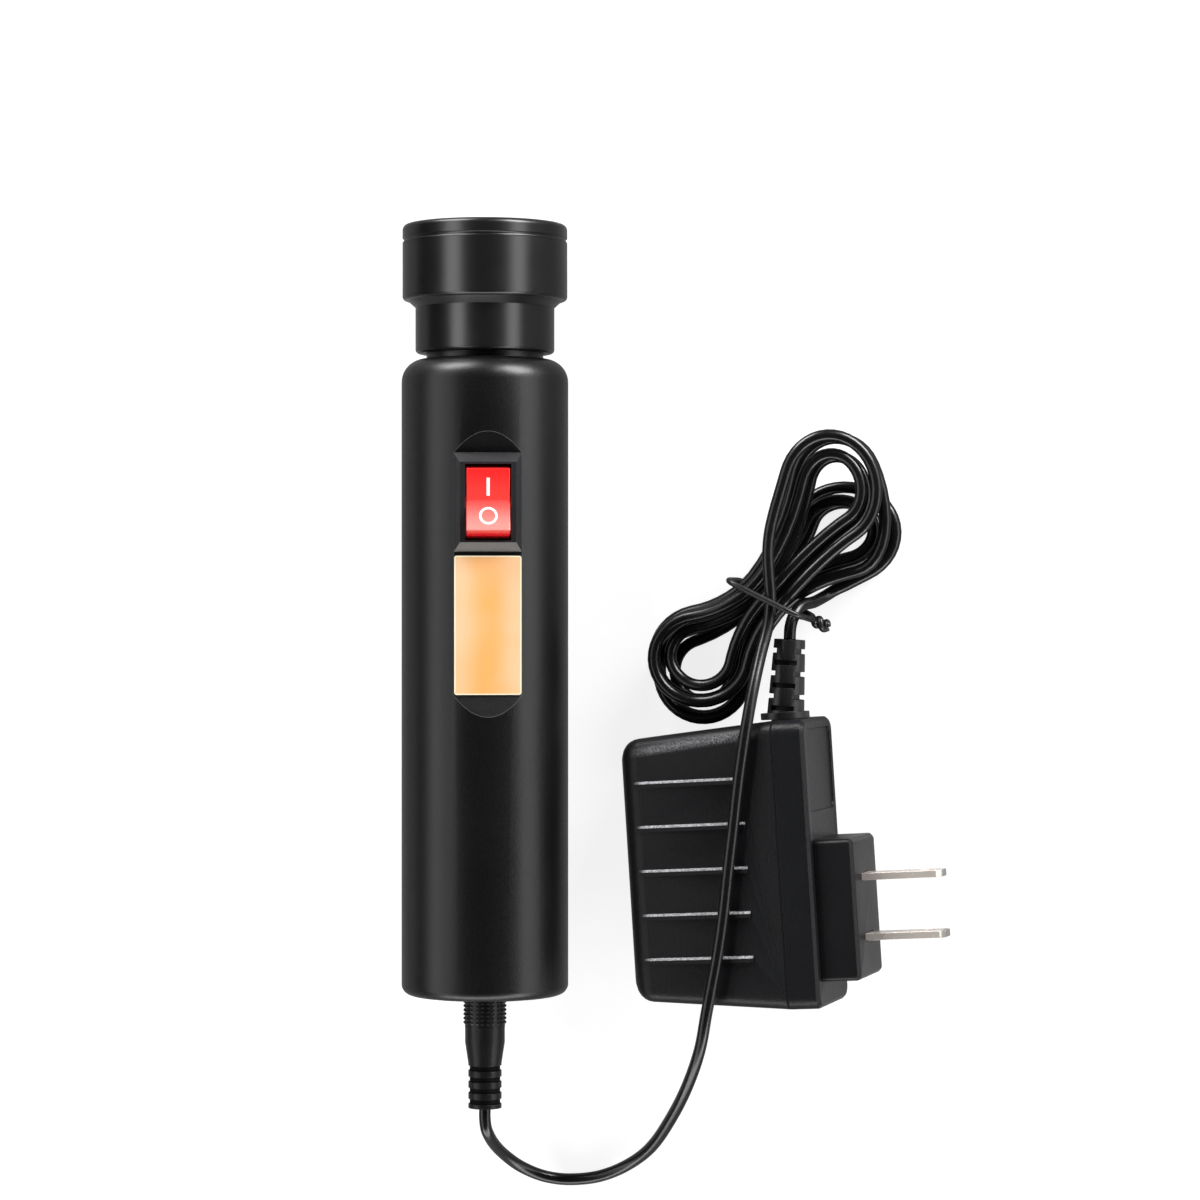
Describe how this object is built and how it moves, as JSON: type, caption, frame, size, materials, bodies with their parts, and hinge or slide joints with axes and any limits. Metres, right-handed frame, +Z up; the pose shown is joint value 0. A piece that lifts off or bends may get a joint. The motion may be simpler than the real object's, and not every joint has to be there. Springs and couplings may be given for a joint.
{
  "type": "egg candling lamp",
  "caption": "Hand-held candling lamp with a soft rubber cup over its light, a rocker switch on its tube, and a plug-in low-voltage lead tied in a hank that ends in a wall adapter.",
  "frame": {"origin": "under the middle of the lamp, on the surface that it lies on", "axes": "+Y along the lamp's axis towards its cup, +Z up, +X towards the lead and the adapter"},
  "size_m": [0.1184, 0.2095, 0.0391],
  "materials": {
    "handle_plastic": "satin",
    "cap_plastic": "matte",
    "jack_plastic": "satin",
    "contact_brass": "bright",
    "nut_steel": "bright",
    "cup_rubber": "satin",
    "lens_clear": "clear",
    "led_board": "white coated",
    "led_emitter": "lit",
    "sink_aluminium": "turned",
    "switch_plastic": "satin",
    "rocker_red": "gloss, translucent",
    "plate_gold": "gold film, bare",
    "resistor_body": "matte",
    "wire_red": "satin",
    "wire_black": "satin",
    "plug_plastic": "satin",
    "cord_black": "gloss",
    "tie_plastic": "satin",
    "case_plastic": "fine sparked texture",
    "blade_nickel": "nickel plated",
    "pcb_green": "solder mask",
    "core_ferrite": "ground",
    "capacitor_blue": "sleeved"
  },
  "bodies": {
    "lamp": {"handle_tube": "handle_plastic", "base_cap": "cap_plastic", "dc_jack": "jack_plastic", "jack_pin": "contact_brass", "jack_nut": "nut_steel", "jack_lug": "contact_brass", "eyecup": "cup_rubber", "lens": "lens_clear", "led_board": "led_board", "led_emitter": "led_emitter", "heat_sink": "sink_aluminium", "switch_housing": "switch_plastic", "switch_terminals": "contact_brass", "rating_plate": "plate_gold", "resistor": "resistor_body", "wire_supply": "wire_red", "wire_switched": "wire_red", "wire_led": "wire_red", "wire_return": "wire_black"},
    "rocker": {"rocker": "rocker_red"},
    "power_lead": {"plug_overmould": "plug_plastic", "plug_barrel": "blade_nickel", "cord_lead": "cord_black", "cord_hank": "cord_black", "cord_tail": "cord_black", "hank_tie": "tie_plastic", "strain_relief": "plug_plastic", "adapter_rear_shell": "case_plastic", "adapter_front_shell": "case_plastic", "blade_block": "case_plastic", "blades": "blade_nickel", "adapter_board": "pcb_green", "transformer": "core_ferrite", "capacitors": "capacitor_blue"}
  },
  "joints": [
    {"name": "rocker_tilt", "type": "hinge", "parent": "lamp", "child": "rocker", "pos_m": [0.00494, 0.0227, 0.03322], "axis": [0.9511, 0, -0.309], "range_deg": [0, 18]},
    {"name": "plug_pull", "type": "slide", "parent": "lamp", "child": "power_lead", "axis": [0, -1, 0], "range_m": [0, 0.0105]}
  ]
}
